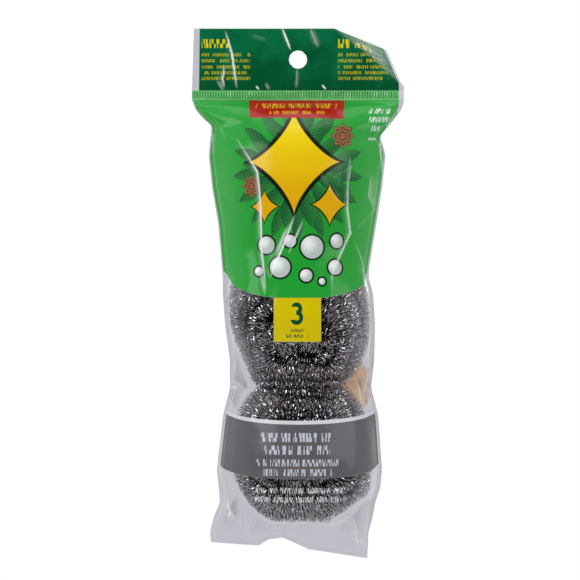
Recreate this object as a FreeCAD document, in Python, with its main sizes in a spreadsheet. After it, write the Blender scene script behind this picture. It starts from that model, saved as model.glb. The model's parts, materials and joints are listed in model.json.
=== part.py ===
"""A hanging bag of three curly steel pot scrubbers.

The bag is two films, front and back, welded along their sides. A ribbed crimp seal closes it
at the top, and above the seal the films go on as a header with a hang hole. The three
scrubbers lie one above the other in the bag. Each is a ball of curled wire: three strands of
curls lie over a plain core, which stands for the layers of wire below them.

The origin is the middle of the hang hole. +Z is up and the printed front faces -Y.
"""

import FreeCAD, Part
import math
import os

import Sketcher
from FreeCAD import Placement, Rotation, Vector

doc = FreeCAD.newDocument("scrubber_pack")

# Driving dimensions: millimetres, degrees and counts
SIZES = {
    "film": 0.2,               # thickness of one film
    "bag_width": 106,          # flat width of the bag
    "weld": 1.8,               # width of a side weld
    "header_height": 32,       # from the header's top edge to the fold above the seal
    "hole_drop": 16.8,         # from the header's top edge to the middle of the hang hole
    "hole_dia": 9,             # hang hole
    "corner_fold": 16,         # from the middle to where the corner fold meets the top edge
    "corner_angle": 63,        # how far the header's corner is folded back
    "corner_radius": 3,        # inner radius of that fold
    "corner_in": 8.5,          # seen from the front, how far the folded corner moves in
    "corner_drop": 9.2,        # and how far it moves down
    "fold_gap": 0.5,           # room for the film to fold between header and seal
    "crimp_height": 4.8,       # height of the ribbed seal
    "rib_pitch": 1.33,         # from one rib of the seal to the next
    "rib_width": 0.8,
    "rib_rise": 0.25,          # how far a rib stands out of the film
    "rib_margin": 0.4,         # plain film above, below and beside the ribs
    "scrubber_dia": 69,
    "scrubber_depth": 44,      # from front to back
    "stack_gap": 0.3,          # between one scrubber and the next
    "bottom_shift": 2,         # how far the bottom scrubber lies to the right
    "top_room": 4.4,           # from the seal to the top scrubber
    "bottom_room": 3.5,        # from the bottom scrubber to the flat tail
    "tail_height": 12.5,       # flat film below the scrubbers
    "tail_width": 80,
    "tail_shift": 4.5,         # how far the flat tail lies to the left
    "top_side_room": 7.7,      # film to scrubber, left and right of each one
    "middle_side_room": 1,
    "bottom_side_room": 5.2,
    "face_room": 1.2,          # film to scrubber, where a front or back strand stands out most
    "end_room": 1.2,           # film to scrubber above the top one and below the bottom one
    "neck_draw": 5,            # how far the bag draws in between scrubbers, in its width
    "neck_dip": 6,             # and in each film's depth
    "flat_crown": 0.2,         # bulge of a film where it is flat, at the seal and the tail
    "wire": 0.6,               # thickness of the curled wire
    "curl_radius": 3,          # of the wire's middle line
    "face_inset": 18.5,        # from the rim in to the ring that a front or back strand follows
    "shoulder_inset": 10.8,    # from the rim in to the ring that a shoulder strand follows
    "shoulder_drop": 9.6,      # from the front or back down to that ring
    "shoulder_angle": 50,      # slope of the core below a shoulder strand, from the front's direction
    "face_curls": 9,
    "shoulder_curls": 12,
    "rim_curls": 15,
    "strand_opening": 22.5,    # angle left open between the two ends of a strand
    "stack_turn": 90,          # how far each scrubber is turned against the one above it
    "core_gap": 0.3,           # between a strand and the core
    "dimple_land": 3.5,        # flat ring of the core's face around its dimple
    "dimple_depth": 4,
}

sheet = doc.addObject("Spreadsheet::Sheet", "sizes")
for row, (alias, number) in enumerate(SIZES.items(), start=1):
    sheet.set(f"A{row}", alias)
    sheet.set(f"B{row}", str(number))
    sheet.setAlias(f"B{row}", alias)
doc.recompute()


def value(expression):
    """The number that an expression on the sheet's cells gives."""
    return float(sheet.evalExpression(expression))


# Heights, worked out downwards from the hang hole
HEADER_TOP = "sizes.hole_drop"
HEADER_BOTTOM = "(sizes.hole_drop - sizes.header_height)"
CRIMP_TOP = f"({HEADER_BOTTOM} - sizes.fold_gap)"
SEAL = f"({CRIMP_TOP} - sizes.crimp_height)"
PITCH = "(sizes.scrubber_dia + sizes.stack_gap)"
TOP_MIDDLE = f"({SEAL} - sizes.top_room - sizes.scrubber_dia / 2)"
MIDDLES = [f"({TOP_MIDDLE} - {count} * {PITCH})" for count in range(3)]
SHIFTS = ["0", "0", "sizes.bottom_shift"]
TAIL = f"({MIDDLES[2]} - sizes.scrubber_dia / 2 - sizes.bottom_room)"
BOTTOM = f"({TAIL} - sizes.tail_height)"

# The room that a strand takes across, and the core that is left inside the strands
STRAND = "(2 * sizes.curl_radius + sizes.wire)"
FACE_RING = "(sizes.scrubber_dia / 2 - sizes.face_inset)"
CORE_RADIUS = f"(sizes.scrubber_dia / 2 - {STRAND} - sizes.core_gap)"
CORE_HALF = f"(sizes.scrubber_depth / 2 - {STRAND} - sizes.core_gap)"
SHOULDER_RING = "(sizes.scrubber_dia / 2 - sizes.shoulder_inset)"
SHOULDER_LEVEL = "(sizes.scrubber_depth / 2 - sizes.shoulder_drop)"
SLOPE_X, SLOPE_Y = "cos(sizes.shoulder_angle * 1 deg)", "sin(sizes.shoulder_angle * 1 deg)"
SLOPE = (
    f"({SLOPE_X} * {SHOULDER_RING} + {SLOPE_Y} * {SHOULDER_LEVEL} - {STRAND} / 2 - sizes.core_gap)"
)
CORE_FACE = f"(({SLOPE} - {SLOPE_Y} * {CORE_HALF}) / {SLOPE_X})"
CORE_SIDE = f"(({SLOPE} - {SLOPE_X} * {CORE_RADIUS}) / {SLOPE_Y})"
DIMPLE = f"({CORE_FACE} - sizes.dimple_land)"


def bind(thing, **expressions):
    """Binds properties to expressions. A double underscore in a name stands for a dot."""
    for name, expression in expressions.items():
        thing.setExpression(name.replace("__", "."), expression)


def origin_plane(body, role):
    return next(f for f in body.Origin.OriginFeatures if f.Role == role)


def body_sketch(body, name, role, height=None):
    """A sketch on one of the body's origin planes, raised by an expression."""
    sketch = body.newObject("Sketcher::SketchObject", name)
    sketch.AttachmentSupport = (origin_plane(body, role), [""])
    sketch.MapMode = "FlatFace"
    if height:
        bind(sketch, AttachmentOffset__Base__z=height)
    return sketch


def dimension(sketch, name, expression, kind, *where):
    """A named dimension of a sketch, bound to an expression."""
    index = sketch.addConstraint(Sketcher.Constraint(kind, *where, value(expression)))
    sketch.renameConstraint(index, name)
    sketch.setExpression(f"Constraints.{name}", expression)


def close_loop(sketch, ends):
    """Joins edges end to end. Each of ends is ((edge, its last point), (edge, its first point))."""
    for last, first in ends:
        sketch.addConstraint(Sketcher.Constraint("Coincident", *last, *first))


def polygon(sketch, corners):
    """A closed polygon whose corners are pairs of expressions, measured from the origin."""
    points = [Vector(value(x), value(y), 0) for x, y in corners]
    count = len(points)
    for i in range(count):
        sketch.addGeometry(Part.LineSegment(points[i], points[(i + 1) % count]))
    close_loop(sketch, [((i, 2), ((i + 1) % count, 1)) for i in range(count)])
    for i, (x, y) in enumerate(corners):
        dimension(sketch, f"x{i}", x, "DistanceX", -1, 1, i, 1)
        dimension(sketch, f"y{i}", y, "DistanceY", -1, 1, i, 1)


# Bag films: one crescent section for each height, lofted from the seal to the bottom edge
HALF_HEIGHT = "(sizes.scrubber_dia / 2 + sizes.end_room)"
FLAT_DEPTH = "(sizes.film + sizes.flat_crown)"
FLAT_CHORD = "(sizes.bag_width - 2 * sizes.weld)"
CHORDS = [
    f"(sizes.scrubber_dia + 2 * sizes.{place}_side_room)" for place in ("top", "middle", "bottom")
]
SIDE_ANGLE, SLOPE_ANGLE, END_ANGLE = 25, 45, 65

# How far a film stands out: an arc from the narrowest chord's ends that clears the face strands
REACH = (
    "(sizes.scrubber_dia / 2 + min(sizes.top_side_room; sizes.middle_side_room; sizes.bottom_side_room))"
)
CREST = "(sizes.scrubber_depth / 2 + sizes.face_room)"
STRAND_REACH = f"({FACE_RING} + sizes.bottom_shift)"
BACKSET = (
    f"(({REACH} ^ 2 - {STRAND_REACH} ^ 2 + sizes.film ^ 2 - {CREST} ^ 2) / (2 * ({CREST} - sizes.film)))"
)
HALF_DEPTH = f"(sqrt({REACH} ^ 2 + ({BACKSET} + sizes.film) ^ 2) - {BACKSET})"


def wrap(middle, angle, chord, shift="0"):
    """Section at an angle above or below a scrubber's middle, where the film wraps round it.

    The film leaves a scrubber towards a neck at the side angle. At the two ends of the stack it
    goes on over the slope and the end angle.
    """
    height = f"({middle} + {HALF_HEIGHT} * sin({angle} deg))"
    return height, chord, f"({HALF_DEPTH} * cos({angle} deg))", shift


def neck(above, below):
    """Section half way between two scrubbers, given by their numbers."""
    height = f"(({MIDDLES[above]} + {MIDDLES[below]}) / 2)"
    chord = f"(({CHORDS[above]} + {CHORDS[below]}) / 2 - sizes.neck_draw)"
    return height, chord, f"({HALF_DEPTH} - sizes.neck_dip)", f"(({SHIFTS[above]} + {SHIFTS[below]}) / 2)"


def film_sections():
    """(height, chord, depth, shift) of each section of a bag film, from the seal downwards."""
    top, centre, bottom = MIDDLES
    top_chord, centre_chord, bottom_chord = CHORDS
    tail_chord = "(sizes.tail_width - 2 * sizes.weld)"
    lean, tail_shift = f"({SHIFTS[2]} / 2)", "(-sizes.tail_shift)"
    return [
        (SEAL, FLAT_CHORD, FLAT_DEPTH, "0"),
        wrap(top, END_ANGLE, f"(({top_chord} + 2 * {FLAT_CHORD}) / 3)"),
        wrap(top, SLOPE_ANGLE, top_chord),
        wrap(top, SIDE_ANGLE, top_chord),
        wrap(top, 0, top_chord),
        wrap(top, -SIDE_ANGLE, top_chord),
        neck(0, 1),
        wrap(centre, SIDE_ANGLE, centre_chord),
        wrap(centre, 0, centre_chord),
        wrap(centre, -SIDE_ANGLE, centre_chord),
        neck(1, 2),
        wrap(bottom, SIDE_ANGLE, bottom_chord, lean),
        wrap(bottom, 0, bottom_chord, lean),
        wrap(bottom, -SIDE_ANGLE, bottom_chord, lean),
        wrap(bottom, -SLOPE_ANGLE, bottom_chord, lean),
        wrap(bottom, -END_ANGLE, f"(({bottom_chord} + 2 * {tail_chord}) / 3)", f"({tail_shift} / 2)"),
        (TAIL, tail_chord, FLAT_DEPTH, tail_shift),
        (BOTTOM, tail_chord, FLAT_DEPTH, tail_shift),
    ]


def film_section(body, name, height, chord, depth, shift):
    """One section of the front film: a crescent with a flat weld on each side."""
    sketch = body_sketch(body, name, "XY_Plane", height)
    bind(sketch, AttachmentOffset__Base__x=shift)
    rise = f"({depth} - sizes.film)"
    outer = f"((({chord} / 2) ^ 2 + {rise} ^ 2) / (2 * {rise}))"
    inner = f"({outer} - sizes.film)"
    film, weld, half = value("sizes.film"), value("sizes.weld"), value(chord) / 2
    big, small = value(outer), value(inner)
    middle = Vector(0, big - value(depth), 0)
    reach = math.sqrt(small**2 - middle.y**2)
    tip = half + weld

    def arc(radius, x, y):
        start = math.atan2(y - middle.y, -x)
        end = math.atan2(y - middle.y, x)
        return Part.ArcOfCircle(Part.Circle(middle, Vector(0, 0, 1), radius), start, end)

    def line(x0, y0, x1, y1):
        return Part.LineSegment(Vector(x0, y0, 0), Vector(x1, y1, 0))

    left, left_front, front, right_front, right, right_back, back, left_back = range(8)
    for edge in (
        line(-tip, 0, -tip, -film),
        line(-tip, -film, -half, -film),
        arc(big, half, -film),
        line(half, -film, tip, -film),
        line(tip, -film, tip, 0),
        line(tip, 0, reach, 0),
        arc(small, reach, 0),
        line(-reach, 0, -tip, 0),
    ):
        sketch.addGeometry(edge)
    close_loop(sketch, [
        ((left, 2), (left_front, 1)),
        ((left_front, 2), (front, 1)),
        ((front, 2), (right_front, 1)),
        ((right_front, 2), (right, 1)),
        ((right, 2), (right_back, 1)),
        ((right_back, 2), (back, 2)),
        ((back, 1), (left_back, 1)),
        ((left_back, 2), (left, 1)),
    ])
    x_axis, y_axis = -1, -2
    for kind, *where in (
        ("Vertical", left),
        ("Vertical", right),
        ("Horizontal", right_front),
        ("PointOnObject", right_back, 1, x_axis),
        ("PointOnObject", right_back, 2, x_axis),
        ("PointOnObject", left_back, 1, x_axis),
        ("PointOnObject", left_back, 2, x_axis),
        ("Coincident", front, 3, back, 3),
        ("Symmetric", left_front, 2, right_front, 1, y_axis),
        ("Symmetric", left_front, 1, right_front, 2, y_axis),
    ):
        sketch.addConstraint(Sketcher.Constraint(kind, *where))
    dimension(sketch, "chord", chord, "DistanceX", left_front, 2, right_front, 1)
    dimension(sketch, "weld", "sizes.weld", "DistanceX", right_front, 1, right_front, 2)
    dimension(sketch, "film", "sizes.film", "DistanceY", right, 1, right, 2)
    dimension(sketch, "outer", outer, "Radius", front)
    dimension(sketch, "inner", inner, "Radius", back)
    return sketch


def bag_films():
    """The front film as a loft, and the back film as its mirror image."""
    body = doc.addObject("PartDesign::Body", "bag_front")
    sketches = [
        film_section(body, f"bag_section_{i}", *section)
        for i, section in enumerate(film_sections())
    ]
    loft = body.newObject("PartDesign::AdditiveLoft", "bag_loft")
    loft.Profile = sketches[0]
    loft.Sections = sketches[1:]
    loft.Ruled = True
    body.Label = "bag_front_film"
    back = doc.addObject("Part::Mirroring", "bag_back")
    back.Source = body
    back.Normal = Vector(0, 1, 0)
    back.Label = "bag_back_film"
    return [body, back]


# Header films: a sheet bent back along a slanted fold, trimmed to the outline seen from the front
def bent_sheet(name, front, back):
    """A sheet between two distances behind the fold's face, flat and then bent back."""
    profile = doc.addObject("Sketcher::SketchObject", f"{name}_profile")
    turn = math.radians(value("sizes.corner_angle"))
    middle = Vector(0, value("sizes.corner_radius"), 0)
    along = Vector(math.cos(turn), math.sin(turn), 0)
    aside = Vector(math.sin(turn), -math.cos(turn), 0)
    reach = "(sizes.bag_width + sizes.header_height)"
    length, flap = value(reach), value("sizes.header_height")
    radii = [f"(sizes.corner_radius - {front})", f"(sizes.corner_radius - {back})"]
    for radius in map(value, radii):
        near = middle + Vector(0, -radius, 0)
        far = middle + aside * radius
        profile.addGeometry(Part.LineSegment(near - Vector(length, 0, 0), near))
        circle = Part.Circle(middle, Vector(0, 0, 1), radius)
        profile.addGeometry(Part.ArcOfCircle(circle, -math.pi / 2, turn - math.pi / 2))
        profile.addGeometry(Part.LineSegment(far, far + along * flap))
    front_line, front_arc, front_flap, back_line, back_arc, back_flap = range(6)
    flat_end, flap_end = (
        profile.addGeometry(Part.LineSegment(profile.getPoint(first, end), profile.getPoint(second, end)))
        for first, second, end in ((front_line, back_line, 1), (front_flap, back_flap, 2))
    )
    close_loop(profile, [
        ((flat_end, 1), (front_line, 1)),
        ((flat_end, 2), (back_line, 1)),
        ((flap_end, 1), (front_flap, 2)),
        ((flap_end, 2), (back_flap, 2)),
    ])
    for line, arc, flap_line in ((front_line, front_arc, front_flap), (back_line, back_arc, back_flap)):
        profile.addConstraint(Sketcher.Constraint("Tangent", line, 2, arc, 1))
        profile.addConstraint(Sketcher.Constraint("Tangent", arc, 2, flap_line, 1))
        profile.addConstraint(Sketcher.Constraint("Horizontal", line))
    profile.addConstraint(Sketcher.Constraint("PointOnObject", front_arc, 3, -2))
    profile.addConstraint(Sketcher.Constraint("Coincident", front_arc, 3, back_arc, 3))
    profile.addConstraint(Sketcher.Constraint("Vertical", flat_end))
    profile.addConstraint(Sketcher.Constraint("Perpendicular", flap_end, front_flap))
    profile.addConstraint(Sketcher.Constraint("Parallel", front_flap, back_flap))
    dimension(profile, "middle", "sizes.corner_radius", "DistanceY", -1, 1, front_arc, 3)
    dimension(profile, "front", radii[0], "Radius", front_arc)
    dimension(profile, "back", radii[1], "Radius", back_arc)
    dimension(profile, "reach", reach, "DistanceX", front_line, 1, front_line, 2)
    dimension(profile, "flap", "sizes.header_height", "Distance", front_flap, 1, front_flap, 2)
    profile.addConstraint(Sketcher.Constraint("Angle", -1, 1, front_flap, 1, turn))
    angle = profile.ConstraintCount - 1
    profile.renameConstraint(angle, "turn")
    profile.setExpression("Constraints.turn", "sizes.corner_angle * 1 deg")
    profile.Placement = Placement(Vector(), Rotation(Vector(0, -1, 0), 1))
    bind(
        profile,
        Placement__Base__x="sizes.corner_fold",
        Placement__Base__z=HEADER_TOP,
        Placement__Rotation__Angle="atan2(sizes.bag_width / 2 - sizes.corner_fold; sizes.header_height)",
    )
    sheet_solid = doc.addObject("Part::Extrusion", f"{name}_sheet")
    sheet_solid.Base = profile
    sheet_solid.DirMode = "Normal"
    sheet_solid.Solid = True
    bind(sheet_solid, LengthFwd=reach, LengthRev=reach)
    return sheet_solid


def header_films():
    """The two header films, trimmed to one outline and punched by one hang hole."""
    edge = "(sizes.bag_width / 2)"
    outline = doc.addObject("Sketcher::SketchObject", "header_outline")
    polygon(outline, [
        (f"-{edge}", HEADER_BOTTOM),
        (edge, HEADER_BOTTOM),
        (f"({edge} - sizes.corner_in)", f"({HEADER_TOP} - sizes.corner_drop)"),
        ("sizes.corner_fold", HEADER_TOP),
        (f"-{edge}", HEADER_TOP),
    ])
    outline.Placement = Placement(Vector(), Rotation(Vector(1, 0, 0), 90))
    block = doc.addObject("Part::Extrusion", "header_block")
    block.Base = outline
    block.DirMode = "Normal"
    block.Solid = True
    bind(block, LengthFwd="sizes.header_height", LengthRev="sizes.header_height")
    hole = doc.addObject("Part::Cylinder", "hang_hole")
    hole.Placement = Placement(Vector(), Rotation(Vector(1, 0, 0), 90))
    bind(
        hole,
        Radius="sizes.hole_dia / 2",
        Height="sizes.bag_width",
        Placement__Base__y="sizes.bag_width / 2",
    )
    films = []
    for name, front, back in (("header_front", "-sizes.film", "0"), ("header_back", "0", "sizes.film")):
        trimmed = doc.addObject("Part::Common", f"{name}_trimmed")
        trimmed.Base = bent_sheet(name, front, back)
        trimmed.Tool = block
        film = doc.addObject("Part::Cut", name)
        film.Base = trimmed
        film.Tool = hole
        film.Label = f"{name}_film"
        films.append(film)
    return films


# Crimp seal: both films pressed together between ribbed jaws
def crimp_seal():
    body = doc.addObject("PartDesign::Body", "crimp")
    half, film = "(sizes.bag_width / 2)", "sizes.film"
    strip_sketch = body_sketch(body, "crimp_section", "XY_Plane", SEAL)
    polygon(strip_sketch, [
        (f"-{half}", f"-{film}"),
        (half, f"-{film}"),
        (half, film),
        (f"-{half}", film),
    ])
    strip = body.newObject("PartDesign::Pad", "crimp_strip")
    strip.Profile = strip_sketch
    bind(strip, Length="sizes.crimp_height")
    doc.recompute()
    rib_sketch = body_sketch(body, "rib_section", "XY_Plane", f"({SEAL} + sizes.rib_margin)")
    start = f"(sizes.rib_margin - {half})"
    crest = f"({film} + sizes.rib_rise)"
    polygon(rib_sketch, [
        (start, f"-{film}"),
        (f"({start} + sizes.rib_width / 2)", f"-{crest}"),
        (f"({start} + sizes.rib_width)", f"-{film}"),
        (f"({start} + sizes.rib_width)", film),
        (f"({start} + sizes.rib_width / 2)", crest),
        (start, film),
    ])
    rib = body.newObject("PartDesign::Pad", "crimp_rib")
    rib.Profile = rib_sketch
    bind(rib, Length="sizes.crimp_height - 2 * sizes.rib_margin")
    doc.recompute()
    room = "(sizes.bag_width - 2 * sizes.rib_margin - sizes.rib_width)"
    count = f"floor({room} / sizes.rib_pitch)"
    ribs = body.newObject("PartDesign::LinearPattern", "crimp_ribs")
    ribs.Originals = [rib]
    ribs.Direction = (rib_sketch, ["H_Axis"])
    bind(ribs, Occurrences=f"{count} + 1", Length=f"{count} * sizes.rib_pitch")
    body.Tip = ribs
    body.Label = "crimp_seal"
    return body


# Scrubbers: a core with a dimple on each face, and five strands of curls over it
def scrubber_core(place):
    """The layers of wire below the strands, as one plain turned solid."""
    body = doc.addObject("PartDesign::Body", f"{place}_core")
    sketch = body_sketch(body, f"{place}_core_section", "XY_Plane")
    dip = f"({CORE_HALF} - sizes.dimple_depth)"
    polygon(sketch, [
        ("0", dip),
        ("0", f"(-{dip})"),
        (DIMPLE, f"(-{CORE_HALF})"),
        (CORE_FACE, f"(-{CORE_HALF})"),
        (CORE_RADIUS, f"(-{CORE_SIDE})"),
        (CORE_RADIUS, CORE_SIDE),
        (CORE_FACE, CORE_HALF),
        (DIMPLE, CORE_HALF),
    ])
    turned = body.newObject("PartDesign::Revolution", f"{place}_core_turned")
    turned.Profile = sketch
    turned.ReferenceAxis = (sketch, ["V_Axis"])
    turned.Angle = 360
    body.Label = f"{place}_scrubber_core"
    return body


def strand_route(ring, level, curls):
    """Points and directions at each quarter turn of a curl, for a strand that follows a ring.

    The ring has its middle on the Y axis and lies in the plane Y = level.
    """
    curl = value("sizes.curl_radius")
    span = math.radians(360 - value("sizes.strand_opening"))

    def point(share):
        around, twist = span * share, 2 * math.pi * curls * share
        reach = ring + curl * math.cos(twist)
        return Vector(reach * math.cos(around), level + curl * math.sin(twist), reach * math.sin(around))

    steps = 4 * curls
    near = 1e-5
    route = []
    for step in range(steps + 1):
        share = step / steps
        direction = point(share + near) - point(share - near)
        route.append((point(share), direction.normalize()))
    return route


def arc_from(start, direction, end):
    """The arc that leaves start along a direction and ends at end, as its middle point."""
    chord = end - start
    length = chord.Length
    turn = direction.getAngle(chord)
    side = direction - chord * (direction.dot(chord) / length**2)
    return (start + end) * 0.5 + side.normalize() * (length / 2 * math.tan(turn / 2))


def biarc(start, start_way, end, end_way):
    """Two arcs that leave start along one direction and reach end along another."""
    chord, both = end - start, start_way + end_way
    a, b, c = 2 * (1 - start_way.dot(end_way)), 2 * chord.dot(both), chord.dot(chord)
    reach = (math.sqrt(b * b + 4 * a * c) - b) / (2 * a)
    joint = (start + end + (start_way - end_way) * reach) * 0.5
    first = Part.Arc(start, arc_from(start, start_way, joint), joint)
    second = Part.Arc(joint, arc_from(end, end_way * -1, joint), end)
    return [first.toShape(), second.toShape()]


def least_gap(path, wire):
    """The least free distance between stretches of one strand that aren't neighbours."""
    points = path.discretize(Distance=wire)
    apart = 8
    return min(
        a.distanceToPoint(b) for i, a in enumerate(points) for b in points[i + apart:]
    ) - wire


def strand(name, ring, level, curls):
    """One strand of curls as an unbroken tube, with a short straight end at each side."""
    wire = value("sizes.wire")
    route = strand_route(ring, level, curls)
    (first, first_way), (last, last_way) = route[0], route[-1]
    tip = first - first_way * wire
    edges = [Part.LineSegment(tip, first).toShape()]
    for (start, start_way), (end, end_way) in zip(route, route[1:]):
        edges += biarc(start, start_way, end, end_way)
    edges.append(Part.LineSegment(last, last + last_way * wire).toShape())
    path = Part.Wire(edges)
    pipe = Part.BRepOffsetAPI.MakePipeShell(path)
    pipe.add(Part.Wire(Part.makeCircle(wire / 2, tip, first_way)))
    pipe.build()
    pipe.makeSolid()
    tube = pipe.shape()
    share = tube.Volume / (math.pi * wire**2 / 4 * path.Length)
    print(f"{name} strand: length {path.Length:.1f} mm, least gap {least_gap(path, wire):.2f} mm, "
          f"volume {share:.4f} of section times length")
    return tube


def scrubbers():
    """Three scrubbers, each with a core and its strands: front, back, rim and two shoulders."""
    reach = "(sizes.curl_radius + sizes.wire / 2)"
    face, face_level = value(FACE_RING), value(f"sizes.scrubber_depth / 2 - {reach}")
    shoulder, shoulder_level = value(SHOULDER_RING), value(SHOULDER_LEVEL)
    face_curls, shoulder_curls, rim_curls = (
        int(value(f"sizes.{part}_curls")) for part in ("face", "shoulder", "rim")
    )
    tubes = {
        "front": strand("front", face, -face_level, face_curls),
        "front_shoulder": strand("front shoulder", shoulder, -shoulder_level, shoulder_curls),
        "rim": strand("rim", value(f"sizes.scrubber_dia / 2 - {reach}"), 0, rim_curls),
        "back_shoulder": strand("back shoulder", shoulder, shoulder_level, shoulder_curls),
        "back": strand("back", face, face_level, face_curls),
    }
    pieces = []
    for number, place in enumerate(("top", "middle", "bottom")):
        scrubber = [scrubber_core(place)]
        turn = Rotation(Vector(0, 1, 0), value("sizes.stack_turn") * number)
        for side, tube in tubes.items():
            piece = doc.addObject("Part::Feature", f"{place}_{side}_strand")
            piece.Shape = tube
            piece.Placement = Placement(Vector(), turn)
            piece.Label = f"{place}_scrubber_{side}_strand"
            scrubber.append(piece)
        for piece in scrubber:
            bind(piece, Placement__Base__x=SHIFTS[number], Placement__Base__z=MIDDLES[number])
        pieces += scrubber
    return pieces


pieces = header_films() + [crimp_seal()] + bag_films() + scrubbers()
doc.recompute()

for item in doc.Objects:
    if {"Invalid", "Error"} & set(item.State):
        raise RuntimeError(f"{item.Label} failed: {item.State}")
for piece in pieces:
    if piece.Shape.isNull() or not piece.Shape.isValid() or not piece.Shape.Solids:
        raise RuntimeError(f"{piece.Label} has no valid solid")

os.makedirs("parts", exist_ok=True)
for piece in pieces:
    piece.Shape.exportStep(f"parts/{piece.Label}.step")
    box = piece.Shape.BoundBox
    print(f"{piece.Label}: {box.XLength:.1f} x {box.YLength:.1f} x {box.ZLength:.1f} mm, "
          f"{len(piece.Shape.Solids)} solid, {piece.Shape.Volume:.1f} mm3")
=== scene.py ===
import json
import math
from collections import namedtuple

import bpy
import numpy as np
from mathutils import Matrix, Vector, noise


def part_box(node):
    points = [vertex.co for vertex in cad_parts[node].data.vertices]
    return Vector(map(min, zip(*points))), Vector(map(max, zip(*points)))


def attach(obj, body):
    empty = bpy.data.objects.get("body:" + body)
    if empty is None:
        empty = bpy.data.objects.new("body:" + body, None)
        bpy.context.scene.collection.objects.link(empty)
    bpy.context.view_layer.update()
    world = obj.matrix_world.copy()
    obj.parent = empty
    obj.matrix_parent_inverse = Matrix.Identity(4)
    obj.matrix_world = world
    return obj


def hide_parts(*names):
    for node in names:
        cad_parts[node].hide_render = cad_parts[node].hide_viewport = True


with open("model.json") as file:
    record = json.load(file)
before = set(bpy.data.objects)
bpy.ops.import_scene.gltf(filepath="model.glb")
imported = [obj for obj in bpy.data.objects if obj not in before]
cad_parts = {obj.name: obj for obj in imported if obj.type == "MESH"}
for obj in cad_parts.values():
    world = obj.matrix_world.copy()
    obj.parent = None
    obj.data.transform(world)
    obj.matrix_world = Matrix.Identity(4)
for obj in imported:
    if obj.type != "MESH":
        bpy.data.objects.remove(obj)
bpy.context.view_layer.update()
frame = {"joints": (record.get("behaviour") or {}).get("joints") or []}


# Wire of the scrubbers. A scrubber is one long flat stainless wire, drawn through a die that
# curls it, and wound into a ball with a dimple in each face. Only its own curls hold it together.
MM = 0.001
# Radius of a curl, how flat it is pressed, and the steps of its line in a curl and in a turn of the ball
CURL, CURL_FLATNESS = 2.4 * MM, 0.8
STEPS_PER_CURL, STEPS_PER_TURN = 10, 220
# Half width of a ball, how high it would be above and below its middle if nothing pressed on it,
# how far it lies off to the right, how far its lower half leans to the right for each mm down,
# where its front dimple lies, as angles below the middle and to the right of it, and the flats
# that its neighbours and the bag press on it, as the angle that each faces and its distance
Ball = namedtuple("Ball", "name half_width above below off lean dimple flats")
# A ball is squarer than an ellipse, which has 2
SQUARENESS = 2.4
PRESSED_FLAT = 35.6 * MM
TOP_FLAT, FOOT_FLAT = (90, PRESSED_FLAT), (-90, PRESSED_FLAT)
BALLS = (
    Ball("top", 34.5 * MM, 34.8 * MM, 38.0 * MM, 0.0, 0.0, (0.1, 0.2), (FOOT_FLAT,)),
    Ball("middle", 36.0 * MM, 39.0 * MM, 40.0 * MM, 0.4 * MM, 0.0, (0.4, -0.06),
         (TOP_FLAT, FOOT_FLAT, (-158, 34.0 * MM))),
    Ball("bottom", 35.2 * MM, 42.0 * MM, 36.0 * MM, -0.2 * MM, 0.1, (-0.15, -0.12),
         (TOP_FLAT, (-90, 32.8 * MM), (-59, 33.2 * MM))),
)


class Shade:
    """A socket of a shader tree that takes part in arithmetic. Each operation adds a Math node."""

    def __init__(self, tree, socket=None):
        self.tree, self.socket = tree, socket

    def node(self, kind, settings, inputs, output=0):
        """Adds a node, sets its settings, fills its inputs and returns one of its outputs."""
        made = self.tree.nodes.new("ShaderNode" + kind)
        for name, setting in settings.items():
            if name == "stops":
                ramp = made.color_ramp
                while len(ramp.elements) < len(setting):
                    ramp.elements.new(1)
                for stop, (place, colour) in zip(ramp.elements, setting):
                    stop.position, stop.color = place, colour
            else:
                setattr(made, name, setting)
        for name, fill in inputs.items():
            if isinstance(fill, Shade):
                self.tree.links.new(fill.socket, made.inputs[name])
            else:
                made.inputs[name].default_value = fill
        return Shade(self.tree, made.outputs[output])

    def maths(self, operation, *others):
        return self.node("Math", {"operation": operation}, dict(enumerate((self, *others))))

    def __add__(self, other):
        return self.maths("ADD", other)

    def __radd__(self, other):
        return self + other

    def __sub__(self, other):
        return self.maths("SUBTRACT", other)

    def __rsub__(self, other):
        return self * -1 + other

    def __mul__(self, other):
        return self.maths("MULTIPLY", other)

    def __rmul__(self, other):
        return self * other

    def __truediv__(self, other):
        return self.maths("DIVIDE", other)

    def __pow__(self, other):
        return self.maths("POWER", other)

    def __abs__(self):
        return self.maths("ABSOLUTE")

    def ease(self, low, high):
        """0 below low, 1 above high and smooth between. low may be the greater of the two."""
        return self.node(
            "MapRange",
            {"interpolation_type": "SMOOTHSTEP"},
            {"Value": self, "From Min": low, "From Max": high},
        )

    def blend(self, first, second):
        """The first colour where this mask is 0, the second where it is 1."""
        return self.node("Mix", {"data_type": "RGBA"}, {0: self, 6: first, 7: second}, output=2)


def paint(red, green, blue):
    """A printed or seen colour, 0 to 255 a channel, as the renderer's linear colour."""
    channels = [c / 255 for c in (red, green, blue)]
    return *(c / 12.92 if c < 0.04 else ((c + 0.055) / 1.055) ** 2.4 for c in channels), 1


def new_material(name):
    """A material with an empty tree, and a Shade to build its nodes with."""
    material = bpy.data.materials.new(name)
    material.use_nodes = True
    material.node_tree.nodes.clear()
    return material, Shade(material.node_tree)


def set_surface(material, shader):
    output = material.node_tree.nodes.new("ShaderNodeOutputMaterial")
    material.node_tree.links.new(shader.socket, output.inputs["Surface"])


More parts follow.
